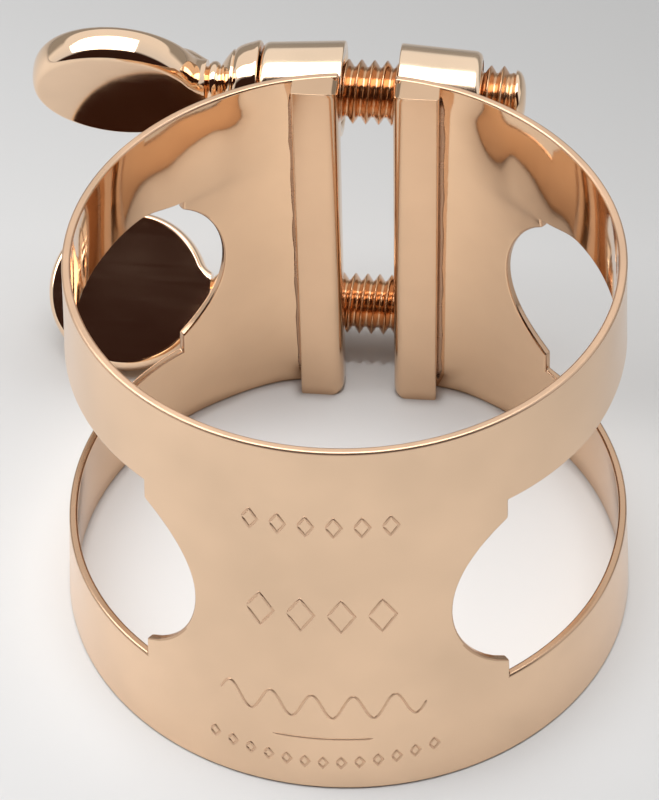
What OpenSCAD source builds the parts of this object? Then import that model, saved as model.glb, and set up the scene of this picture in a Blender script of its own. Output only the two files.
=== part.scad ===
// Saxophone ligature: a split conical band that clamps a reed onto a mouthpiece.
// Two brazed barrels stand on each side of the split, and two thumb screws draw them together.
// Frame: +Z up through the ring, origin at the middle of the lower rim, split at +Y, screw heads at -X.

/* [Band] */
// Outer diameter of the band at its upper rim
top_outer_d = 28; // [26:0.5:32]
// Outer diameter of the band at its lower rim
bottom_outer_d = 30.6; // [28:0.2:35]
// Height of the band
height = 23.4; // [21:0.2:28]
// Thickness of the sheet
sheet = 0.45; // [0.4:0.05:0.8]
// Width of the split between the two rails
split = 2.9; // [2.2:0.1:3.4]
// Width of the seam between the two halves of the band at the front
seam = 0.1; // [0.08:0.01:0.2]

/* [Side windows] */
// Height of the hoop left below the windows
lower_hoop = 5.65; // [4.5:0.05:7]
// Height of the hoop left above the windows
upper_hoop = 5.4; // [4.5:0.1:7]
// Angle from the front middle to the front end of each window
front_notch_deg = 38.3; // [34:0.1:44]
// Angle from the split to the back end of each window
back_notch_deg = 44.3; // [38:0.1:50]
// Radius of the arc that bites into the front panel
front_arc_r = 5.7; // [4:0.1:6]
// Radius of the arc that bites into the back panel
back_arc_r = 5.9; // [4:0.1:6]

/* [Reed rails] */
// Width of each rail
rail_w = 2.45; // [1.8:0.05:3]
// Thickness of each rail at its outer edge
rail_t = 1.1; // [0.7:0.1:1.4]

/* [Barrels] */
// Outer diameter of the barrels
barrel_d = 5.2; // [4.6:0.1:5.6]
// Length of each barrel
barrel_l = 4.45; // [3.5:0.05:6]
// Radial clearance between screw and barrel bore
bore_gap = 0.15; // [0.14:0.01:0.25]
// Distance of the screw axis from the outside of the band
stand_off = 2.42; // [2.2:0.02:2.8]
// Height of the upper screw axis below the upper rim
upper_drop = 3.5; // [3.2:0.1:4.5]
// Height of the lower screw axis above the lower rim
lower_rise = 3.35; // [3.25:0.05:4.5]
// How much further out the lower plain barrel is brazed
lower_set = 0.55; // [0:0.05:0.8]

/* [Thumb screws] */
// Outer diameter of the screw thread
thread_d = 3.5; // [3:0.1:3.6]
// Pitch of the screw thread
pitch = 0.7; // [0.5:0.1:0.8]
// Length of screw showing past the threaded barrel
tip_l = 2.4; // [1.5:0.1:3]
// Diameter of the seated collar
collar_d = 5.1; // [4.6:0.1:5.6]
// Diameter of the round thumb paddle
paddle_d = 9.4; // [7.6:0.1:9.4]
// Thickness of the thumb paddle
paddle_t = 2.1; // [1.8:0.1:2.1]
// Elevation that the upper paddle's flat side looks at, in degrees
upper_face = -24; // [-24:1:20]
// Elevation that the lower paddle's flat side looks at, in degrees
lower_face = 55; // [55:1:66]

/* [Hidden] */
$fn = 96;
top_r = top_outer_d / 2;
bottom_r = bottom_outer_d / 2;
slope = (bottom_r - top_r) / height;
lean = atan(slope);
window_low = lower_hoop;
window_high = height - upper_hoop;
window_mid = (window_low + window_high) / 2;
mid_r = bottom_r - slope * window_mid;
front_arc_deg = front_notch_deg + 10.5;
back_arc_deg = back_notch_deg + 12.65;
upper_z = height - upper_drop;
lower_z = lower_rise;
upper_y = bottom_r - slope * upper_z + stand_off;
lower_y = bottom_r - slope * lower_z + stand_off;
barrel_in = split / 2 + 0.05;
barrel_r = barrel_d / 2;
thread_r = thread_d / 2;
root_r = thread_r - 0.55 * pitch;
bore_r = thread_r + bore_gap;
seat_x = barrel_in + barrel_l;
seat_gap = 0.1;
collar_r = collar_d / 2;
paddle_r = paddle_d / 2;
neck_l = 2.95;
paddle_edge = 0.7;
paddle_set = 0.05;
brass = [0.83, 0.66, 0.5];
satin = [0.8, 0.62, 0.47];
polished = [0.88, 0.7, 0.52];

// Outer cone of the band, less an offset, run a little past both rims
module cone(inset, past) {
    translate([0, 0, -past])
        cylinder(h = height + 2 * past,
                 r1 = bottom_r + slope * past - inset,
                 r2 = top_r - slope * past - inset);
}

// Annular sector of window, between two angles measured from the front towards +X
module window_slot(from_deg, to_deg) {
    rotate([0, 0, from_deg - 90])
        rotate_extrude(angle = to_deg - from_deg)
            translate([bottom_r - 6, window_low])
                square([12, window_high - window_low]);
}

// Round bite, seen along the radius at an angle from the front towards +X
module window_bite(at_deg, r) {
    rotate([0, 0, at_deg - 90])
        translate([mid_r - 4, 0, window_mid])
            rotate([0, 90, 0])
                cylinder(h = 9, r = r);
}

// Right half of the band sheet, from the front seam round to the split
module band_half() {
    difference() {
        cone(0, 0);
        cone(sheet, 1);
        translate([seam / 2 - 40, -30, -1])
            cube([40, 60, height + 2]);
        translate([-1, 0, -1])
            cube([1 + split / 2 + 0.05, 30, height + 2]);
        window_slot(front_notch_deg, 180 - back_notch_deg);
        window_bite(front_arc_deg, front_arc_r);
        window_bite(180 - back_arc_deg, back_arc_r);
    }
}

// Bar inside the right edge of the split that bears on the reed
module rail() {
    flat_y = sqrt(pow(bottom_r - sheet, 2) - pow(split / 2 + rail_w, 2)) - rail_t;
    intersection() {
        cone(sheet, 0);
        translate([0, flat_y, 0])
            rotate([lean, 0, 0])
                rail_bar();
        rail_outline();
    }
}

// The bar before it is fitted to the cone, its front edge round at the split
module rail_bar() {
    edge = 0.45;
    translate([split / 2, 0, -1])
        linear_extrude(height = height / cos(lean) + 2)
            union() {
                translate([edge, 0])
                    square([rail_w - edge, 6]);
                translate([0, edge])
                    square([rail_w, 6 - edge]);
                translate([edge, edge])
                    circle(r = edge);
            }
}

// Outline of the rail seen from the front, its two corners round at the split
module rail_outline() {
    corner = 0.6;
    translate([split / 2, bottom_r + 1, 0])
        rotate([90, 0, 0])
            linear_extrude(height = 8)
                union() {
                    translate([corner, 0])
                        square([rail_w - corner, height]);
                    translate([0, corner])
                        square([rail_w, height - 2 * corner]);
                    translate([corner, corner])
                        circle(r = corner);
                    translate([corner, height - corner])
                        circle(r = corner);
                }
}

// Barrel on the right of the split, brazed on a foot against the band
module barrel(y, z, shift) {
    difference() {
        union() {
            translate([barrel_in + shift, y, z])
                rotate([0, 90, 0])
                    barrel_body();
            translate([barrel_in + shift + 0.3, y - 6, z - 1.6])
                cube([barrel_l - 0.6, 5, 3.2]);
        }
        cone(0, 2);
        translate([barrel_in + shift - 1, y, z])
            rotate([0, 90, 0])
                cylinder(h = barrel_l + 2, r = bore_r);
    }
}

// Round body of a barrel with broken edges
module barrel_body() {
    edge = 0.2;
    rotate_extrude()
        polygon([[0, 0], [barrel_r - edge, 0], [barrel_r, edge],
                 [barrel_r, barrel_l - edge], [barrel_r - edge, barrel_l], [0, barrel_l]]);
}

// Half outline of the threaded shank: crests and roots from the collar to the tip
function shank_pts(n, x0) = [for (i = [0 : n - 1]) for (k = [0 : 3])
    [k < 2 ? root_r : thread_r, x0 + pitch * (i + [0.05, 0.2, 0.56, 0.69][k])]];
function arc(cx, cy, r, a0, a1, n) = [for (i = [0 : n]) let (a = a0 + (a1 - a0) * i / n)
    [cx + r * cos(a), cy + r * sin(a)]];

// Turned stem along +Z from the last bead to the domed tip, with z = 0 at the collar's seat
module stem(shank) {
    turns = floor((shank - 1.3) / pitch);
    x0 = shank - 0.75 - turns * pitch;
    rotate_extrude()
        polygon(concat(
            [[0, -neck_l - 0.5], [1.05, -neck_l - 0.5], [1.05, -2.85]],
            arc(1.02, -2.5, 0.3, -60, 60, 4),
            [[1.08, -2.14], [1.2, -2.08], [collar_r - 1.05, -1.9], [collar_r - 0.65, -1.66],
             [collar_r - 0.5, -1.48], [collar_r - 0.58, -1.42], [collar_r - 0.44, -1.36],
             [collar_r - 0.21, -0.84], [collar_r - 0.08, -0.4], [collar_r, -0.15],
             [collar_r - 0.06, 0], [thread_r, 0], [thread_r, x0]],
            shank_pts(turns, x0),
            [[thread_r, shank - 0.7], [thread_r - 0.25, shank - 0.4],
             [thread_r - 0.8, shank - 0.1], [0, shank]]));
}

// Round thumb paddle, flat towards +Y, with a turned root that swells its other side
module paddle() {
    centre = paddle_r + 0.1;
    half = paddle_t / 2;
    translate([0, -paddle_set, -centre])
        rotate([90, 0, 0])
            rotate_extrude()
                polygon(concat([[0, -half], [paddle_r - 1.6, -half]],
                    arc(paddle_r - paddle_edge, -half + paddle_edge, paddle_edge, -90, 0, 6),
                    arc(paddle_r - paddle_edge, half - paddle_edge, paddle_edge, 0, 90, 6),
                    [[paddle_r - 1.6, half], [0, half]]));
    difference() {
        rotate_extrude()
            polygon([[0, -4.1], [1.2, -3.9], [1.7, -3], [2.05, -2.2], [2.15, -1.7], [2.08, -1.3],
                     [1.83, -0.85], [1.5, -0.4], [1.28, 0], [0, 0]]);
        translate([-4, half - paddle_set, -5])
            cube([8, 4, 6]);
    }
}

// Put something made along +Z, root towards -Z, on a screw axis that runs along +X
module on_screw(y, z, shift, turn) {
    translate([-seat_x - seat_gap - shift, y, z])
        rotate([turn, 0, 0])
            rotate([0, 90, 0])
                rotate([0, 0, 90])
                    children();
}

module band_left_half() {
    color(brass)
        mirror([1, 0, 0])
            band_half();
}

module band_right_half() {
    color(brass)
        band_half();
}

module reed_rail_left() {
    color(satin)
        mirror([1, 0, 0])
            rail();
}

module reed_rail_right() {
    color(satin)
        rail();
}

module upper_plain_barrel() {
    color(polished)
        mirror([1, 0, 0])
            barrel(upper_y, upper_z, 0);
}

module lower_plain_barrel() {
    color(polished)
        mirror([1, 0, 0])
            barrel(lower_y, lower_z, lower_set);
}

module upper_threaded_barrel() {
    color(polished)
        barrel(upper_y, upper_z, 0);
}

module lower_threaded_barrel() {
    color(polished)
        barrel(lower_y, lower_z, 0);
}

module upper_screw_stem() {
    color(polished)
        on_screw(upper_y, upper_z, 0, 0)
            stem(2 * seat_x + seat_gap + tip_l);
}

module lower_screw_stem() {
    color(polished)
        on_screw(lower_y, lower_z, lower_set, 0)
            stem(2 * seat_x + seat_gap + tip_l);
}

module upper_screw_paddle() {
    color(polished)
        on_screw(upper_y, upper_z, 0, 90 - upper_face)
            translate([0, 0, -neck_l])
                paddle();
}

module lower_screw_paddle() {
    color(polished)
        on_screw(lower_y, lower_z, lower_set, 90 - lower_face)
            translate([0, 0, -neck_l])
                paddle();
}

band_left_half();
band_right_half();
reed_rail_left();
reed_rail_right();
upper_plain_barrel();
lower_plain_barrel();
upper_threaded_barrel();
lower_threaded_barrel();
upper_screw_stem();
lower_screw_stem();
upper_screw_paddle();
lower_screw_paddle();
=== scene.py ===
import math
import bmesh
import bpy
from mathutils import Matrix, Vector


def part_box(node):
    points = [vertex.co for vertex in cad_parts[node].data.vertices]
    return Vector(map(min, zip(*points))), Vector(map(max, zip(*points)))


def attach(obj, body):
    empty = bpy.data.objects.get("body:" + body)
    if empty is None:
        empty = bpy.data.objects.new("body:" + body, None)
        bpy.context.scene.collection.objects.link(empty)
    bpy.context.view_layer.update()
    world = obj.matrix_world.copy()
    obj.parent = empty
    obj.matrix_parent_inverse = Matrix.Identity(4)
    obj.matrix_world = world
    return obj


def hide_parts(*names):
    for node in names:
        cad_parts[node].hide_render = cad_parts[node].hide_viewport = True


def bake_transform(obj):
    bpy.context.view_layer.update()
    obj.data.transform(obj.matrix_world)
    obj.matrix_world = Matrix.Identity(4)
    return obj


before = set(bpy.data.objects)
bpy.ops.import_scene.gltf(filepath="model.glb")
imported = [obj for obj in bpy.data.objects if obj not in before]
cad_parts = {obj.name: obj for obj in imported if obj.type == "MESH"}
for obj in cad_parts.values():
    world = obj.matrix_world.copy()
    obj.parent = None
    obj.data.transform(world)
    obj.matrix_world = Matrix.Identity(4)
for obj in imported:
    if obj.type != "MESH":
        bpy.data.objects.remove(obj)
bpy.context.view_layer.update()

MM = 0.001

# Sizes are in millimetres, in the part's own frame: the cone's axis is Z, the front is -Y and the split is +Y

# The conical band
NARROW_R = 14.0
WIDE_R = 15.3
SHEET = 0.45
SPLIT_HALF = 1.5
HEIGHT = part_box("band_left_half")[1].z / MM
SLOPE = (WIDE_R - NARROW_R) / HEIGHT
EDGE = 0.14

# The windows: the hoops below and above them, their straight ends in degrees from the front and the back, and
# their round bites as (degrees of the centre, radius)
LOWER_HOOP = 5.65
UPPER_HOOP = 5.4
FRONT_NOTCH = 38.3
BACK_NOTCH = 44.3
FRONT_ARC = (48.8, 5.7)
BACK_ARC = (56.95, 5.9)
WINDOW_TOP = HEIGHT - UPPER_HOOP
WINDOW_MID = (LOWER_HOOP + WINDOW_TOP) / 2

# How much lower the upper hoop hangs at the windows' back corners, and over how many degrees it comes down
CORNER_DROOP = 0.62
DROOP_RUN = 13

# How far the hand-bent sheet strays from its cone: waves at the sides, the curl of the narrow rim at the back
# and how far down it reaches, and the strip beside each rail
WAVE_DEPTH = 0.035
CURL_DEPTH = 0.21
CURL_REACH = 2.3
STRIP_BULGE = 0.12

# Mesh spacing on the band: degrees from column to column, millimetres from row to row
COLUMN_STEP = 1.4
ROW_STEP = 0.42

# The rails beside the split: thickness, radii of the inner and the outer corner and of the ends, and how far
# they reach into the sheet
RAIL_DEPTH = 1.1
RAIL_CORNER = 0.7
RAIL_SOFT = 0.14
RAIL_END = 0.6
RAIL_SINK = 0.05

# The braze beside the rails: how far it stays from their ends, its width, and its reach into the sheet
SEAM_MARGIN = 0.75
SEAM_WIDTH = 0.26
SEAM_SINK = 0.08

# The barrels: radius of the bore and its chamfer, radii of the sharp rim towards the split and of the soft
# one away from it, and how far askew their outside is, in degrees
BORE = 1.9
BORE_SINK = 0.14
SHARP_RIM = 0.1
SOFT_RIM = 0.4
BARREL_SKEW = 5.5

# The braze under the barrels: half its height on the band and on the barrel, and how hollow its flanks are
BRAZE_REACH = 1.95
BRAZE_TOP = 0.9
BRAZE_HOLLOW = 1.6

# The thumb screws: one turn of the thread as (share of the pitch, radius), then the neck, its bead and the
# collar as (place along the axis from the collar's face, radius)
THREAD_R = 1.75
PITCH = 0.7
ROOT_R = 1.36
TEETH = ((0.0, ROOT_R), (0.1, ROOT_R), (0.22, 1.5), (0.34, 1.62), (0.46, THREAD_R - 0.01), (0.5, THREAD_R),
         (0.54, THREAD_R - 0.01), (0.66, 1.62), (0.78, 1.5), (0.9, ROOT_R))
NECK_R = 1.0
NECK = ((-3.45, 0), (-3.45, NECK_R), (-2.86, NECK_R), (-2.83, 1.05))
BEAD_MIDDLE = -2.5
BEAD_R = 0.31
COLLAR = ((-2.17, 1.06), (-2.13, 1.08), (-2.1, 1.16), (-2.04, 1.3), (-1.92, 1.48), (-1.78, 1.68),
          (-1.64, 1.85), (-1.52, 1.97), (-1.46, 2.0), (-1.43, 1.95), (-1.39, 1.95), (-1.36, 2.03),
          (-1.28, 2.12), (-1.1, 2.23), (-0.84, 2.34), (-0.6, 2.42), (-0.4, 2.48), (-0.24, 2.53),
          (-0.14, 2.55), (-0.07, 2.54), (-0.02, 2.5), (0, 2.44), (0, 1.9), (0, THREAD_R - 0.03))
THREAD_START = 2.4
TIP_DOME = 0.62

# Clearance between a collar's face and the end of its barrel
COLLAR_GAP = 0.1

# The paddles: radius and half thickness of the disc and how far its middle is set back from the axis, rounded
# edges of the flat side and of the back, and the neck
PADDLE_R = 4.7
PADDLE_HALF = 1.05
PADDLE_SET = 0.05
FLAT_EDGE = 0.42
BACK_EDGE = 0.85
NECK_HALF = 1.22
NECK_FILLET = 1.1
NECK_END = PADDLE_R + 0.12

# Rings of the paddles' mesh as shares of the outline, closer together towards the edge
RINGS = (0.0, 0.06, 0.12, 0.19, 0.26, 0.33, 0.39, 0.45, 0.5, 0.55, 0.6, 0.64, 0.68, 0.715, 0.745, 0.77,
         0.795, 0.82, 0.84, 0.858, 0.875, 0.89, 0.904, 0.917, 0.929, 0.94, 0.95, 0.959, 0.967, 0.974,
         0.98, 0.985, 0.9895, 0.993, 0.996, 0.998, 0.9993, 1.0)

# The turned root on the paddles' back as (place from the disc's centre, radius), its fillet, and how many
# degrees above the front each flat side looks
ROOT = ((0.2, 0.0), (0.7, 0.75), (1.4, 1.25), (2.2, 1.62), (2.9, 1.84), (3.4, 1.9), (3.9, 1.8), (4.3, 1.6),
        (4.6, 1.42), (4.9, 1.27), (5.2, 1.18))
ROOT_FILLET = 0.3
FACE_ELEVATION = {"upper": -24, "lower": 54.7}

# The ornament's raised line: radius, and as shares of it, how deep it lies and how thin its ends are
WIRE_R = 0.08
WIRE_SINK = 0.35
WIRE_TAPER = 0.3

# Noise scales of the metal, per metre: soft clouds, fine lines rubbed around the cone, and specks of wear
CLOUDS = 160
RUBBED = (260, 260, 6000)
SPECKS = 5200

# The camera: place in metres, turns in degrees, lens in millimetres
CAMERA_PLACE = (0.01095, -0.112194, 0.125605)
CAMERA_PAN = 6.02
CAMERA_TILT = 45.02
CAMERA_ROLL = -1.159
CAMERA_LENS = 138.2


def axis_of(node):
    """y and z of the centre of a round node that lies along X, in millimetres."""
    lo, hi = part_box(node)
    return (lo.y + hi.y) / 2 / MM, (lo.z + hi.z) / 2 / MM


def ends_of(node):
    """Lowest and highest x of a node, in millimetres."""
    lo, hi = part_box(node)
    return lo.x / MM, hi.x / MM


def outer_r(z):
    """Outer radius of the band at a height."""
    return WIDE_R - SLOPE * z


def inner_y(x, z):
    """Where the inside of the band's back is, at a place across it and a height."""
    return math.sqrt((outer_r(z) - SHEET) ** 2 - x * x)


def band_y(x, z):
    """Where the outside of the band's back is, at a place across it and a height."""
    return math.sqrt(outer_r(z) ** 2 - x * x)


def smooth(t):
    """Ease from 0 to 1."""
    t = max(0.0, min(1.0, t))
    return t * t * (3 - 2 * t)


def between(t, start, rise, end, fall):
    """1 well between start and end and 0 outside them, easing in over rise and out over fall."""
    return smooth((t - start) / rise) * smooth((end - t) / fall)


def steps(a, b, size):
    """Even steps from a to b, each as near to size as fits."""
    n = max(1, round(abs(b - a) / size))
    return [a + (b - a) * i / n for i in range(n + 1)]


def arc_points(cx, cy, r, a0, a1, n):
    """Points of an arc in n steps, between two angles in degrees."""
    return [(cx + r * math.cos(math.radians(a0 + (a1 - a0) * i / n)),
             cy + r * math.sin(math.radians(a0 + (a1 - a0) * i / n))) for i in range(n + 1)]


# ---------------------------------------------------------------- mesh helpers

def new_piece(name, verts, faces):
    """Smooth-shaded object from points in millimetres."""
    mesh = bpy.data.meshes.new(name)
    mesh.from_pydata([(x * MM, y * MM, z * MM) for x, y, z in verts], [], faces)
    mesh.validate()
    obj = bpy.data.objects.new(name, mesh)
    bpy.context.scene.collection.objects.link(obj)
    clean(obj)
    for face in mesh.polygons:
        face.use_smooth = True
    return obj


def clean(obj):
    """Weld coincident points, drop empty faces and turn every face outwards."""
    bm = bmesh.new()
    bm.from_mesh(obj.data)
    bmesh.ops.remove_doubles(bm, verts=bm.verts, dist=2e-7)
    bmesh.ops.dissolve_degenerate(bm, edges=bm.edges, dist=1e-8)
    bmesh.ops.recalc_face_normals(bm, faces=bm.faces)
    bm.to_mesh(obj.data)
    bm.free()


def round_edges(obj, width, segments, angle=50):
    """Bevel the edges that are sharper than an angle in degrees, and keep the result as plain mesh."""
    bevel = obj.modifiers.new("edges", "BEVEL")
    bevel.width = width * MM
    bevel.segments = segments
    bevel.limit_method = "ANGLE"
    bevel.angle_limit = math.radians(angle)
    bevel.harden_normals = True
    bevel.use_clamp_overlap = True
    graph = bpy.context.evaluated_depsgraph_get()
    mesh = bpy.data.meshes.new_from_object(obj.evaluated_get(graph), depsgraph=graph)
    obj.modifiers.clear()
    old = obj.data
    obj.data = mesh
    bpy.data.meshes.remove(old)


def sleeve(rings, n):
    """Faces between successive closed rings of n points each."""
    faces = []
    for j in range(rings - 1):
        for i in range(n):
            k = (i + 1) % n
            faces.append((j * n + i, j * n + k, (j + 1) * n + k, (j + 1) * n + i))
    return faces


def closed_sleeve(rings, n):
    """A sleeve with its first and last ring filled."""
    return sleeve(rings, n) + [tuple(reversed(range(n))), tuple((rings - 1) * n + i for i in range(n))]


def lathe_x(profile, y, z, around=96):
    """Surface of revolution about an X axis at y, z from (x, r) points."""
    verts = []
    for x, r in profile:
        for k in range(around):
            a = 2 * math.pi * k / around
            verts.append((x, y + r * math.cos(a), z + r * math.sin(a)))
    return verts, sleeve(len(profile), around)


# ---------------------------------------------------------------- band

def bite(z, arc):
    """Half width, in degrees, of a window's round bite at a height."""
    dz = z - WINDOW_MID
    r = arc[1]
    if abs(dz) >= r:
        return 0.0
    return math.degrees(math.asin(math.sqrt(r * r - dz * dz) / outer_r(WINDOW_MID)))


def bite_corner(arc, notch):
    """Half height of a bite where it meets the straight end of the window."""
    off = outer_r(WINDOW_MID) * math.sin(math.radians(arc[0] - notch))
    return math.sqrt(arc[1] ** 2 - off ** 2)


def front_edge(z):
    """Degrees from the front to the window's front edge at a height."""
    return min(FRONT_NOTCH, FRONT_ARC[0] - bite(z, FRONT_ARC))


def back_edge(z):
    """Degrees from the front to the window's back edge at a height."""
    return 180 - min(BACK_NOTCH, BACK_ARC[0] - bite(z, BACK_ARC))


def sheet_angle(column, z, inset, inside_window):
    """Angle from the front of a nominal column, fitted to the windows and the split."""
    side = -1 if column < 0 else 1
    c = abs(column)
    r = outer_r(z) - inset
    last = 180 - math.degrees(math.asin(SPLIT_HALF / r))
    start = 180 - BACK_NOTCH
    front = front_edge(z) if inside_window else FRONT_NOTCH
    back = back_edge(z) if inside_window else start
    if c <= FRONT_NOTCH:
        a = c * front / FRONT_NOTCH
    elif c < start:
        a = c
    else:
        a = back + (c - start) * (last - back) / (180 - start)
    return math.radians(side * a)


def unevenness(a, z):
    """How far the hand-bent sheet stands out from its cone, at an angle from the front and a height.

    The sides are slightly wavy, the narrow rim curls outwards at the back, and a strip beside each rail
    stands out a little. The front and the edges of the split stay true.
    """
    a = abs(a)
    sides = between(a, 0.9, 0.7, 2.72, 0.3) * math.sin(math.pi * z / HEIGHT) ** 0.7
    wave = (math.sin(3.1 * a + 0.45 * z) + 0.7 * math.sin(5.3 * a - 0.31 * z + 1.3)
            + 0.5 * math.sin(8.7 * a + 0.5 * z))
    down = (HEIGHT - z) / (CURL_REACH + 0.35 * math.sin(11 * a + 1))
    curl = between(a, 1.95, 0.35, 2.76, 0.24) * math.tanh(down) * (1 - smooth((down - 0.8) / 3.6))
    strip = between(math.pi - a, 0.25, 0.1, 0.62, 0.27) * smooth((HEIGHT + 0.6 - z) / 2)
    return STRIP_BULGE * strip - WAVE_DEPTH * sides * (2.2 + wave) - CURL_DEPTH * curl


def droop(column, z):
    """How far the upper hoop hangs lower where it runs into the back, just above a window's corner."""
    off = abs(column) - (180 - BACK_NOTCH)
    if off < 0:
        beside = smooth(1 + off / DROOP_RUN)
    else:
        beside = 1 - off / BACK_NOTCH
    straight = WINDOW_MID + bite_corner(BACK_ARC, BACK_NOTCH)
    if z > WINDOW_TOP:
        share = (HEIGHT - z) / UPPER_HOOP
    else:
        share = max(0, (z - straight) / (WINDOW_TOP - straight))
    return CORNER_DROOP * beside * share


def band_patches():
    """The two hoops and the three walls between the windows, as (columns, rows, whether between windows)."""
    start = 180 - BACK_NOTCH
    front = steps(-FRONT_NOTCH, FRONT_NOTCH, COLUMN_STEP)
    right = steps(FRONT_NOTCH, start, COLUMN_STEP)
    back_right = steps(start, 180, COLUMN_STEP)
    left = [-c for c in reversed(right)]
    back_left = [-c for c in reversed(back_right)]
    whole = back_left[:-1] + left[:-1] + front[:-1] + right[:-1] + back_right
    patches = [(whole, steps(0, LOWER_HOOP, ROW_STEP), False),
               (whole, steps(WINDOW_TOP, HEIGHT, ROW_STEP), False)]
    front_low = WINDOW_MID - bite_corner(FRONT_ARC, FRONT_NOTCH)
    back_low = WINDOW_MID - bite_corner(BACK_ARC, BACK_NOTCH)
    for columns, low in ((front, front_low), (back_left, back_low), (back_right, back_low)):
        high = 2 * WINDOW_MID - low
        rows = (steps(LOWER_HOOP, low, ROW_STEP)[:-1] + steps(low, high, ROW_STEP)[:-1]
                + steps(high, WINDOW_TOP, ROW_STEP))
        patches.append((columns, rows, True))
    return patches


def make_band():
    """The whole bent sheet: a grid for its outside, the same one further in, and walls between them."""
    index, outer, quads = {}, [], []

    def vertex(c, z, inside):
        a = sheet_angle(c, z, 0, inside)
        key = (round(a, 6), round(z, 5))
        if key not in index:
            index[key] = len(outer)
            outer.append((c, z, inside))
        return index[key]

    for columns, rows, windowed in band_patches():
        for c0, c1 in zip(columns, columns[1:]):
            for z0, z1 in zip(rows, rows[1:]):
                in0, in1 = [windowed and LOWER_HOOP < z < WINDOW_TOP for z in (z0, z1)]
                quads.append((vertex(c0, z0, in0), vertex(c1, z0, in0),
                              vertex(c1, z1, in1), vertex(c0, z1, in1)))
    count = len(outer)
    verts = []
    for inset in (0, SHEET):
        for c, z, inside in outer:
            a = sheet_angle(c, z, inset, inside)
            r = outer_r(z) - inset + unevenness(a, z)
            verts.append((r * math.sin(a), -r * math.cos(a), z - droop(c, z)))
    faces = quads + [tuple(count + i for i in reversed(q)) for q in quads]
    edges = dict.fromkeys((q[k], q[(k + 1) % 4]) for q in quads for k in range(4))
    for a, b in edges:
        if (b, a) not in edges:
            faces.append((b, a, count + a, count + b))
    band = new_piece("band", verts, faces)
    round_edges(band, EDGE, 3)
    return band


# ---------------------------------------------------------------- rails

def make_rail(name, side):
    """Bar along one edge of the split, with its flat inner face set off the cone and its corners rounded."""
    lo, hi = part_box("reed_rail_right")
    x0, x1 = lo.x / MM, hi.x / MM
    flat = inner_y(x1, 0) - RAIL_DEPTH
    shape = arc_points(x0 + RAIL_CORNER, RAIL_CORNER, RAIL_CORNER, 180, 270, 6)
    shape += arc_points(x1 - RAIL_SOFT, RAIL_SOFT, RAIL_SOFT, 270, 360, 3)
    backs = [x1 + (x0 - x1) * i / 6 for i in range(7)]
    ends = [(RAIL_END - u, RAIL_END - v) for u, v in arc_points(0, 0, RAIL_END, 0, 90, 5)]
    straight = [(z, 0) for z in steps(2 * RAIL_END, HEIGHT - 2 * RAIL_END, 1.2)]
    rows = ends + straight + [(HEIGHT - z, cut) for z, cut in reversed(ends)]
    verts = []
    for z, cut in rows:
        ring = [(max(x, x0 + cut), flat - SLOPE * z + y) for x, y in shape]
        for x in backs:
            x = max(x, x0 + cut)
            ring.append((x, math.sqrt((outer_r(z) - SHEET + RAIL_SINK) ** 2 - x * x)))
        verts += [(side * x, y, z) for x, y in ring]
    rail = new_piece(name, verts, closed_sleeve(len(rows), len(shape) + len(backs)))
    round_edges(rail, 0.1, 3)
    return rail


def make_seam(name, side):
    """Thin run of braze in the corner between a rail's outer side and the band; its dark colour is partly the
    braze's own and partly painted shade of the crevice.
    """
    x1 = ends_of("reed_rail_right")[1]
    heights = steps(SEAM_MARGIN, HEIGHT - SEAM_MARGIN, 0.9)
    hollow = 1.7
    verts = []
    for j, z in enumerate(heights):
        size = SEAM_WIDTH + 0.03 * math.sin(1.7 * z) + 0.02 * math.sin(4.1 * z + side)
        size *= 0.4 if j in (0, len(heights) - 1) else 1
        ring = []
        for t in steps(0, 1, 0.2):
            x = x1 + size * t ** hollow
            ring.append((x, inner_y(x, z) - size * (1 - t) ** hollow + 0.015 * t))
        inside_rail = x1 - 0.06
        ring += [(x1 + size, inner_y(x1 + size, z) + SEAM_SINK), (inside_rail, inner_y(x1, z) + SEAM_SINK),
                 (inside_rail, inner_y(x1, z) - size)]
        verts += [(side * x, y, z) for x, y in ring]
    return new_piece(name, verts, closed_sleeve(len(heights), len(ring)))


# ---------------------------------------------------------------- barrels

def make_barrel(name, node):
    """Tube with its bore true to the screw and its outside a little askew, as the band curves away.

    Returns the piece and the tube's ends, axis and radius.
    """
    lo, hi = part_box(node)
    x0, x1 = lo.x / MM, hi.x / MM
    z = (lo.z + hi.z) / 2 / MM
    r = (hi.z - lo.z) / 2 / MM
    y = hi.y / MM - r
    near, far = (SHARP_RIM, SOFT_RIM) if x0 > 0 else (SOFT_RIM, SHARP_RIM)
    mouth = BORE + BORE_SINK
    outside = (arc_points(x0 + near, r - near, near, 180, 90, 5)
               + [(x, r) for x in steps(x0 + 0.6, x1 - 0.6, 0.8)]
               + arc_points(x1 - far, r - far, far, 90, 0, 5))
    inside = [(x1, mouth), (x1 - BORE_SINK, BORE), (x1 - 0.5, BORE), (x0 + 0.5, BORE), (x0 + BORE_SINK, BORE),
              (x0, mouth)]
    verts, faces = lathe_x(outside + inside + [outside[0]], y, z)
    middle = (x0 + x1) / 2
    lean = math.tan(math.radians(BARREL_SKEW)) * (-1 if x0 > 0 else 1)
    skewed = []
    for vx, vy, vz in verts:
        share = max(0, min(1, (math.hypot(vy - y, vz - z) - mouth) / (r - SOFT_RIM - mouth)))
        skewed.append((vx, vy + share * lean * (vx - middle), vz))
    return new_piece(name, skewed, faces), (x0, x1, y, z, r)


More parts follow.
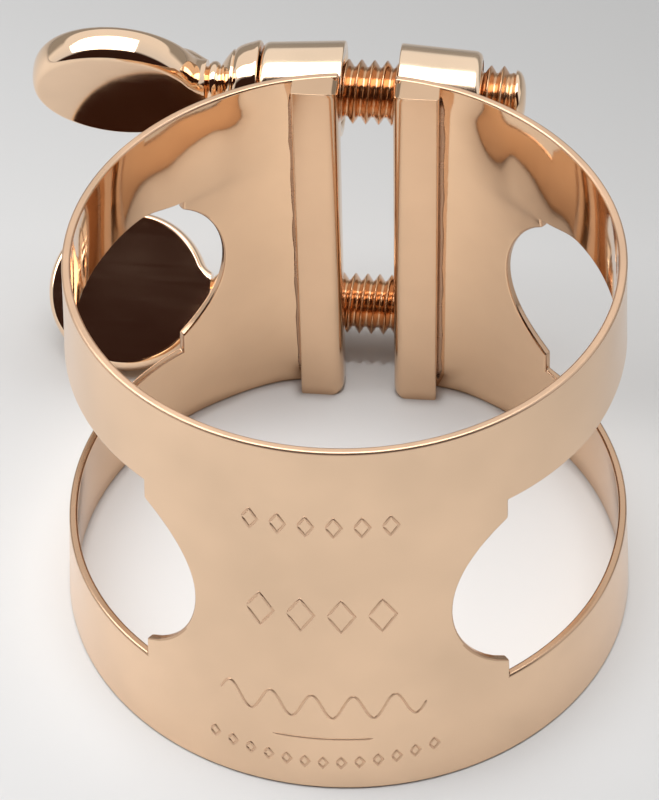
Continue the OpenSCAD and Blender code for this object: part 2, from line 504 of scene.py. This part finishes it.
def make_braze(name, barrel):
    """Concave run of braze between a barrel and the cone of the band."""
    x0, x1, y, z, barrel_r = barrel
    inset = 0.1
    r = barrel_r - inset
    stations = steps(x0 + inset, x1 - inset, 0.45)
    verts = []
    for i, x in enumerate(stations):
        to_end = abs(2 * i / (len(stations) - 1) - 1)
        reach = BRAZE_REACH * (1 - 0.25 * to_end ** 4)
        ring = []
        for side in (1, -1):
            run = []
            for u in steps(0, 1, 1 / 8):
                spread = (1 - u) ** BRAZE_HOLLOW
                height = z + side * (reach * spread + BRAZE_TOP * (1 - spread))
                foot = band_y(x, height)
                under = y - r * math.sin(math.acos(max(-1, min(1, (height - z) / r))))
                run.append((x, foot - 0.05 + (max(under, foot) + 0.25 - foot) * u ** 1.8, height))
            ring += run if side == 1 else reversed(run)
        verts += ring
    piece = new_piece(name, verts, closed_sleeve(len(stations), len(ring)))
    round_edges(piece, 0.24, 4)
    return piece


# ---------------------------------------------------------------- thumb screws

def make_stem(name, node, seat):
    """Stem from the last bead to the domed tip; seat is the x of the collar's face."""
    y, z = axis_of(node)
    tip = ends_of(node)[1]
    around = 72
    start = seat + THREAD_START
    stop = tip - TIP_DOME
    bead = arc_points(seat + BEAD_MIDDLE, NECK_R, BEAD_R, 165, 15, 12)
    head = ([(seat + x, r) for x, r in NECK] + bead + [(seat + x, r) for x, r in COLLAR]
            + [(start, THREAD_R - 0.03), (start, ROOT_R)])
    verts, faces = lathe_x(head, y, z, around)
    base = len(verts)
    rows = (int((stop - start) / PITCH) + 3) * len(TEETH)
    for j in range(rows + 1):
        turn, step = divmod(j, len(TEETH))
        tooth, height = TEETH[step]
        for k in range(around + 1):
            a = 2 * math.pi * k / around
            x = start + (turn + tooth - 1 - k / around) * PITCH
            fade = min(1, max(0, (x - start) / 0.5), max(0, (stop - x) / 0.35))
            r = ROOT_R + (height - ROOT_R) * fade
            if x <= start or x >= stop:
                x, r = min(max(x, start), stop), ROOT_R
            verts.append((x, y + r * math.cos(a), z + r * math.sin(a)))
    for j in range(rows):
        for k in range(around):
            a = base + j * (around + 1) + k
            b = a + around + 1
            faces.append((a, a + 1, b + 1, b))
    crown, crown_r = stop + 0.06, ROOT_R + 0.2
    dome = [(stop, ROOT_R), (stop + 0.02, ROOT_R + 0.12), (crown, crown_r)]
    dome += [(crown + (tip - crown) * math.sin(t * math.pi / 2), crown_r * math.cos(t * math.pi / 2) ** 0.8)
             for t in (0.15, 0.3, 0.45, 0.6, 0.72, 0.83, 0.92)]
    dome.append((tip, 0))
    base = len(verts)
    end_verts, end_faces = lathe_x(dome, y, z, around)
    verts += end_verts
    faces += [tuple(base + i for i in f) for f in end_faces]
    return new_piece(name, verts, faces)


def paddle_outline():
    """Points of the drop-shaped outline, neck towards +u, and how many of them lie on half the neck's end."""
    reach = PADDLE_R + NECK_FILLET
    uc = math.sqrt(reach ** 2 - (NECK_HALF + NECK_FILLET) ** 2)
    vc = NECK_HALF + NECK_FILLET
    touch = math.degrees(math.atan2(vc, uc))
    last = vc - math.sqrt(NECK_FILLET ** 2 - (uc - NECK_END) ** 2)
    cap = [(NECK_END, last * t) for t in (0, 0.17, 0.34, 0.5, 0.65, 0.78, 0.88, 0.95, 1)]
    start = math.degrees(math.atan2(last - vc, NECK_END - uc)) % 360
    half = cap + arc_points(uc, vc, NECK_FILLET, start, 180 + touch, 12)[1:]
    half += arc_points(0, 0, PADDLE_R, touch, 180, 60)[1:]
    return half + [(u, -v) for u, v in reversed(half[1:-1])], len(cap)


def through(table, u):
    """Height at u of a smooth curve through the points of a table; 0 before the table starts."""
    if u <= table[0][0]:
        return 0.0
    for i in range(len(table) - 1):
        (a, ra), (b, rb) = table[i], table[i + 1]
        if u <= b:
            before, after = table[max(i - 1, 0)], table[min(i + 2, len(table) - 1)]
            ma = (rb - before[1]) / (b - before[0]) * (b - a)
            mb = (after[1] - ra) / (after[0] - a) * (b - a)
            t = (u - a) / (b - a)
            return ((2 * t ** 3 - 3 * t * t + 1) * ra + (t ** 3 - 2 * t * t + t) * ma
                    + (3 * t * t - 2 * t ** 3) * rb + (t ** 3 - t * t) * mb)
    return table[-1][1]


def root_swell(u, v):
    """Height of the turned root above the axis at a point of the paddle, 0 where there is none."""
    r = through(ROOT, u)
    return math.sqrt(max(0, r * r - v * v))


def nearest(u, v, line):
    """Distance from a point to a line of points."""
    best = math.inf
    for (a, b), (c, d) in zip(line, line[1:]):
        du, dv = c - a, d - b
        t = max(0, min(1, ((u - a) * du + (v - b) * dv) / (du * du + dv * dv + 1e-12)))
        best = min(best, (u - a - t * du) ** 2 + (v - b - t * dv) ** 2)
    return math.sqrt(best)


def edge_height(d, width):
    """Height of the rounded edge at a distance from the outline, 1 where the flat begins."""
    return (1 - (1 - min(d, width) / width) ** 2.4) ** (1 / 2.2)


def make_paddle(name, node, stem_node, face_elevation):
    """Flat disc with rounded edges; the turned root swells the side that looks away from the flat one.

    The flat side's elevation is in degrees above the front.
    """
    y, z = axis_of(stem_node)
    centre = ends_of(node)[0] + PADDLE_R
    line, cap = paddle_outline()
    sides = line[cap - 1:len(line) - cap + 2]
    sides = [(NECK_END + 2, sides[0][1])] + sides + [(NECK_END + 2, sides[-1][1])]
    tilt = math.radians(face_elevation)
    normal = Vector((0, -math.cos(tilt), math.sin(tilt)))
    across = Vector((0, math.sin(tilt), math.cos(tilt)))
    away = [[nearest(u * f, v * f, sides) for u, v in line] for f in RINGS]
    verts = []
    for face in (1, -1):
        for j, f in enumerate(RINGS):
            for i, (u, v) in enumerate(line):
                d = away[j][i] if away[j][i] > 1e-6 else 0
                h = PADDLE_HALF * edge_height(d, FLAT_EDGE if face > 0 else BACK_EDGE) - face * PADDLE_SET
                if face < 0:
                    swell = root_swell(u * f, v * f) * smooth(d / 0.5)
                    fillet = ROOT_FILLET * smooth(d / 1.2)
                    h = (h + swell + math.sqrt((h - swell) ** 2 + fillet ** 2)) / 2
                p = Vector((centre + u * f, y, z)) + across * (v * f) + normal * (face * h)
                verts.append(tuple(p))
    front = sleeve(len(RINGS), len(line))
    half = len(RINGS) * len(line)
    faces = front + [tuple(half + i for i in reversed(f)) for f in front]
    rim = half - len(line)
    for i in range(len(line)):
        k = (i + 1) % len(line)
        faces.append((rim + i, rim + k, half + rim + k, half + rim + i))
    paddle = new_piece(name, verts, faces)
    paddle.data.set_sharp_from_angle(angle=math.radians(50))
    return paddle


# ---------------------------------------------------------------- ornament on the front

def wire(points, r):
    """Fine raised line that follows the front of the band through (x, z) points."""
    ring = 8
    verts = []
    for i, (x, z) in enumerate(points):
        a, b = points[max(i - 1, 0)], points[min(i + 1, len(points) - 1)]
        run = Vector((b[0] - a[0], 0, b[1] - a[1])).normalized()
        side = Vector((-run.z, 0, run.x))
        out = Vector((x, -band_y(x, z), 0)).normalized()
        thickness = r * (WIRE_TAPER if i in (0, len(points) - 1) else 1)
        middle = Vector((x, -band_y(x, z), z)) - out * r * WIRE_SINK
        for k in range(ring):
            t = 2 * math.pi * k / ring
            verts.append(tuple(middle + side * (thickness * math.cos(t)) + out * (thickness * math.sin(t))))
    return verts, closed_sleeve(len(points), ring)


def make_ornament():
    """Plain decoration in place of any lettering: lozenges in rows, a wave, a rule and a curved row below."""
    lines = []

    def lozenge(x, z, size):
        w = 0.62 * size
        corners = ((x - w, z), (x, z + size), (x + w, z), (x, z - size), (x - w, z))
        path = []
        for (x0, z0), (x1, z1) in zip(corners, corners[1:]):
            path += [(x0 + (x1 - x0) * t / 4, z0 + (z1 - z0) * t / 4) for t in range(4)]
        lines.append(path + [corners[-1]])

    def lozenges(z, size, count, pitch):
        for i in range(count):
            lozenge((i - (count - 1) / 2) * pitch, z, size)

    def wave(z, width, swing, crests):
        points = 150
        shares = [i / points for i in range(points + 1)]
        lines.append([(width * (t - 0.5), z + swing * math.sin(2 * math.pi * crests * t)) for t in shares])

    def rule(z, width):
        lines.append([(x, z) for x in steps(-width / 2, width / 2, 0.26)])

    def garland(z, half_width, rise, size, count):
        for t in steps(-1, 1, 2 / (count - 1)):
            lozenge(half_width * t, z + rise * t * t, size)

    lozenges(z=18.6, size=0.62, count=6, pitch=1.35)
    lozenges(z=12.6, size=1.1, count=4, pitch=2.0)
    wave(z=6.1, width=10.4, swing=0.8, crests=5)
    rule(z=3.75, width=5.2)
    garland(z=1.95, half_width=5.6, rise=0.75, size=0.4, count=13)
    verts, faces = [], []
    for line in lines:
        more, cells = wire(line, WIRE_R)
        base = len(verts)
        verts += more
        faces += [tuple(base + i for i in f) for f in cells]
    return new_piece("front_ornament", verts, faces)


# ---------------------------------------------------------------- materials

def map_range(tree, value, low, high, a=0, b=1, kind="LINEAR"):
    """Output that goes from a to b as value goes from low to high."""
    node = tree.nodes.new("ShaderNodeMapRange")
    node.interpolation_type = kind
    for key, number in zip(("From Min", "From Max", "To Min", "To Max"), (low, high, a, b)):
        node.inputs[key].default_value = number
    tree.links.new(value, node.inputs["Value"])
    return node.outputs["Result"]


def mix_colours(tree, amount, first, second):
    """Colour that goes from first to second with amount; each is a colour or another node's output."""
    node = tree.nodes.new("ShaderNodeMix")
    node.data_type = "RGBA"
    factor, one, other, result = node.inputs[0], node.inputs[6], node.inputs[7], node.outputs[2]
    tree.links.new(amount, factor)
    for socket, value in ((one, first), (other, second)):
        if isinstance(value, tuple):
            socket.default_value = (*value, 1)
        else:
            tree.links.new(value, socket)
    return result


def along(tree, vector, direction, low, high):
    """Smooth step from 0 to 1 between two distances of a vector along a direction."""
    dot = tree.nodes.new("ShaderNodeVectorMath")
    dot.operation = "DOT_PRODUCT"
    dot.inputs[1].default_value = direction
    tree.links.new(vector, dot.inputs[0])
    return map_range(tree, dot.outputs["Value"], low, high, kind="SMOOTHSTEP")


def metal(name, colour, roughness, grain, swirl, bump, mottle=0.05):
    """Plated metal with soft tone changes, fine rubbed lines and small specks of wear.

    grain is how much the rubbed lines change the roughness, swirl how much soft clouds do, as a share of it.
    bump is the strength of the relief, and mottle how far the tone strays from its colour.
    """
    mat = bpy.data.materials.new(name)
    mat.use_nodes = True
    tree = mat.node_tree
    nodes, links = tree.nodes, tree.links
    shader = nodes["Principled BSDF"]
    shader.inputs["Metallic"].default_value = 1.0
    where = nodes.new("ShaderNodeTexCoord").outputs["Object"]

    def noise(vector, scale, detail, rough=0.55):
        node = nodes.new("ShaderNodeTexNoise")
        for key, number in zip(("Scale", "Detail", "Roughness"), (scale, detail, rough)):
            node.inputs[key].default_value = number
        links.new(vector, node.inputs["Vector"])
        return node.outputs["Fac"]

    def total(one, other):
        node = nodes.new("ShaderNodeMath")
        node.operation = "ADD"
        links.new(one, node.inputs[0])
        links.new(other, node.inputs[1])
        return node.outputs["Value"]

    stretch = nodes.new("ShaderNodeMapping")
    stretch.inputs["Scale"].default_value = RUBBED
    links.new(where, stretch.inputs["Vector"])
    cloud = noise(where, CLOUDS, 3)
    rubbed = noise(stretch.outputs["Vector"], 1, 4, 0.6)
    speck = noise(where, SPECKS, 2)

    dark = tuple(c * (1 - mottle) for c in colour)
    light = tuple(min(1, c * (1 + mottle)) for c in colour)
    links.new(mix_colours(tree, map_range(tree, cloud, 0.3, 0.7), dark, light), shader.inputs["Base Color"])
    clouded = map_range(tree, cloud, 0.3, 0.7, roughness * (1 - swirl), roughness * (1 + swirl))
    lined = map_range(tree, rubbed, 0.35, 0.65, -grain, grain)
    links.new(total(clouded, lined), shader.inputs["Roughness"])
    relief = nodes.new("ShaderNodeBump")
    relief.inputs["Strength"].default_value = bump
    relief.inputs["Distance"].default_value = 0.00002
    links.new(total(rubbed, map_range(tree, speck, 0.3, 0.75, 0, 0.5)), relief.inputs["Height"])
    links.new(relief.outputs["Normal"], shader.inputs["Normal"])
    return mat


def dress(obj, mat):
    """Give a piece its one material."""
    obj.data.materials.clear()
    obj.data.materials.append(mat)
    return obj


SATIN = metal("rose_gold_satin", (0.86, 0.61, 0.415), 0.2, grain=0.02, swirl=0.25, bump=0.03, mottle=0.07)
INSIDE = metal("rose_gold_inside", (0.815, 0.555, 0.357), 0.06, grain=0.01, swirl=0.3, bump=0.015)
# Painted shade: a rougher copy of the plating in a darker colour, standing in for the shaded reflections of
# the narrow rim; it also colours the ornament.
DULL_PAINTED_SHADE = metal("rose_gold_dull_painted_shade", (0.76, 0.51, 0.34), 0.36, grain=0.05, swirl=0.3, bump=0.1)
# Painted shade: much darker plating for the window edges, the split's edges and the bottom rim, standing in
# for the dark line of contact shade along the bottom.
EDGE_PAINTED_SHADE = metal("rose_gold_edge_painted_shade", (0.6, 0.39, 0.25), 0.2, grain=0.04, swirl=0.3, bump=0.1)
RAIL = metal("rose_gold_rail", (0.745, 0.505, 0.328), 0.12, grain=0.02, swirl=0.25, bump=0.02)
BRIGHT = metal("rose_gold_bright", (0.94, 0.68, 0.47), 0.06, grain=0.01, swirl=0.3, bump=0.01)
TUBE = metal("rose_gold_tube", (0.94, 0.71, 0.51), 0.16, grain=0.02, swirl=0.3, bump=0.02)
# Painted shade: the thread's colour is darkened to stand in for the shade between its turns.
THREAD_PAINTED_SHADE = metal("rose_gold_thread_painted_shade", (0.7, 0.4, 0.22), 0.2, grain=0.02, swirl=0.3, bump=0.05)
BRAZE = metal("braze", (0.88, 0.66, 0.44), 0.3, grain=0.06, swirl=0.4, bump=0.2)
# Partly painted shade: the braze beside the rails is coloured dark so that it also stands for the shade in
# the crevice along each rail.
SEAM_BRAZE_AND_CREVICE_SHADE = metal("rail_braze_and_painted_crevice_shade", (0.5, 0.31, 0.2), 0.3, grain=0.06, swirl=0.4, bump=0.2)

# ---------------------------------------------------------------- build

def dress_band(band):
    """Satin outside and brighter inside, with the narrow rim dull and darkened by painted shade, and the
    other cut edges, the bottom rim among them, darker with painted shade.
    """
    dress(band, SATIN)
    for mat in (INSIDE, DULL_PAINTED_SHADE, EDGE_PAINTED_SHADE):
        band.data.materials.append(mat)
    satin, inside, cut, notch = range(4)
    for face in band.data.polygons:
        normal, centre = face.normal, face.center
        radial = (normal.x * centre.x + normal.y * centre.y) / centre.xy.length
        if abs(radial) > 0.96:
            face.material_index = inside if radial < 0 else satin
        else:
            # Painted shade: the narrow rim gets the darkened dull copy, and every other cut edge gets the
            # much darker one.
            face.material_index = cut if centre.z / MM > HEIGHT - 0.3 else notch
    return band


def dress_stem(stem, seat, dome):
    """Bright head and tip, with the thread between them rougher and in a darker colour that is painted shade
    for its grooves.
    """
    dress(stem, BRIGHT)
    stem.data.materials.append(THREAD_PAINTED_SHADE)
    for face in stem.data.polygons:
        face.material_index = 1 if seat < face.center.x / MM < dome else 0
    return stem


for piece in (dress_band(make_band()), dress(make_ornament(), DULL_PAINTED_SHADE)):
    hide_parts("band_left_half", "band_right_half")
    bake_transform(piece)

for hand, side in (("left", -1), ("right", 1)):
    rail = dress(make_rail("rail_" + hand, side), RAIL)
    seam = dress(make_seam("rail_seam_" + hand, side), SEAM_BRAZE_AND_CREVICE_SHADE)
    for piece in (rail, seam):
        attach(piece, "clamp_" + hand)
        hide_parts("reed_rail_" + hand)

for barrel, body in (("upper_plain", "clamp_left"), ("lower_plain", "clamp_left"),
                     ("upper_threaded", "clamp_right"), ("lower_threaded", "clamp_right")):
    tube, size = make_barrel(barrel + "_tube", barrel + "_barrel")
    for piece in (dress(tube, TUBE), dress(make_braze(barrel + "_braze", size), BRAZE)):
        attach(piece, body)
        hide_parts(barrel + "_barrel")

for level in ("upper", "lower"):
    stem_node = level + "_screw_stem"
    seat = ends_of(level + "_plain_barrel")[0] - COLLAR_GAP
    dome = ends_of(stem_node)[1] - 0.6
    stem = dress_stem(make_stem(level + "_stem", stem_node, seat), seat, dome)
    paddle = make_paddle(level + "_paddle", level + "_screw_paddle", stem_node, FACE_ELEVATION[level])
    for piece, node in ((stem, "stem"), (dress(paddle, BRIGHT), "paddle")):
        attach(piece, level + "_thumbscrew")
        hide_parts(level + "_screw_" + node)

# ---------------------------------------------------------------- stage, light, camera

def make_floor():
    """Sheet of pale paper, with painted shade that greys it towards the back and the right."""
    around = 64
    radius = 1500
    verts = [(x, y, 0) for x, y in arc_points(0, 0, radius, 0, 360, around)[:-1]]
    paper = bpy.data.materials.new("floor_paper_painted_shade")
    paper.use_nodes = True
    tree = paper.node_tree
    shader = tree.nodes["Principled BSDF"]
    shader.inputs["Roughness"].default_value = 0.75
    where = tree.nodes.new("ShaderNodeTexCoord").outputs["Object"]
    # Painted shade: the paper's colour falls from 0.7 to 0.42 towards the back and the right, where less
    # light reaches.
    away = along(tree, where, (0.45, 1, 0), -0.03, 0.075)
    tone = mix_colours(tree, away, (0.7, 0.697, 0.69), (0.42, 0.418, 0.412))
    tree.links.new(tone, shader.inputs["Base Color"])
    return dress(new_piece("floor", verts, [tuple(range(around))]), paper)


make_floor()


def add_light(name, kind, power, place):
    """Light that looks straight down, as it does until it is turned; returns its data and its object."""
    light = bpy.data.lights.new(name, kind)
    light.energy = power
    obj = bpy.data.objects.new(name, light)
    obj.location = place
    bpy.context.scene.collection.objects.link(obj)
    return light, obj


def make_lights():
    """Wide softbox overhead to the left, and a small spot that lights the inside of the ring."""
    top, _ = add_light("top_light", "AREA", 1.06, (-0.165, 0.001, 0.3))
    top.shape = "RECTANGLE"
    top.size = 0.57
    top.size_y = 0.178
    fill, fill_object = add_light("fill_light", "SPOT", 1.15, (0, 0, 0.3))
    fill.spot_size = math.radians(9)
    fill.spot_blend = 0.7
    fill.shadow_soft_size = 0.004
    fill_object.visible_glossy = False


def make_world():
    """Pale room, greyer low down behind the object, and dark brown in front below the zenith."""
    world = bpy.data.worlds.new("studio")
    world.use_nodes = True
    tree = world.node_tree
    where = tree.nodes.new("ShaderNodeTexCoord").outputs["Generated"]
    rearwards = along(tree, where, (0, 1, 0), -0.2, 0.35)
    room = mix_colours(tree, rearwards, (0.77, 0.8, 0.85), (0.9, 0.9, 0.9))
    behind = along(tree, where, (0, 1, 0), 0.25, 0.4)
    above = along(tree, where, (0, 0, 1), 0.36, 0.44)
    room = mix_colours(tree, behind, room, mix_colours(tree, above, (0.32, 0.32, 0.31), room))
    in_front = along(tree, where, (0, -1, 0), 0.2, 0.34)
    overhead = along(tree, where, (0, 0, 1), 0.932, 0.944)
    room = mix_colours(tree, in_front, room, mix_colours(tree, overhead, (0.03, 0.014, 0.011), room))
    tree.links.new(room, tree.nodes["Background"].inputs["Color"])
    return world


def make_camera():
    """Camera a little above and in front, looking down into the ring."""
    data = bpy.data.cameras.new("camera")
    data.sensor_width = 36
    data.lens = CAMERA_LENS
    data.clip_start = 0.01
    camera = bpy.data.objects.new("camera", data)
    bpy.context.scene.collection.objects.link(camera)
    camera.matrix_world = (Matrix.Translation(CAMERA_PLACE)
                           @ Matrix.Rotation(math.radians(CAMERA_PAN), 4, "Z")
                           @ Matrix.Rotation(math.radians(CAMERA_TILT), 4, "X")
                           @ Matrix.Rotation(math.radians(CAMERA_ROLL), 4, "Z"))
    return camera


make_lights()
bpy.context.scene.world = make_world()
bpy.context.scene.view_settings.view_transform = "Standard"
bpy.context.scene.camera = make_camera()
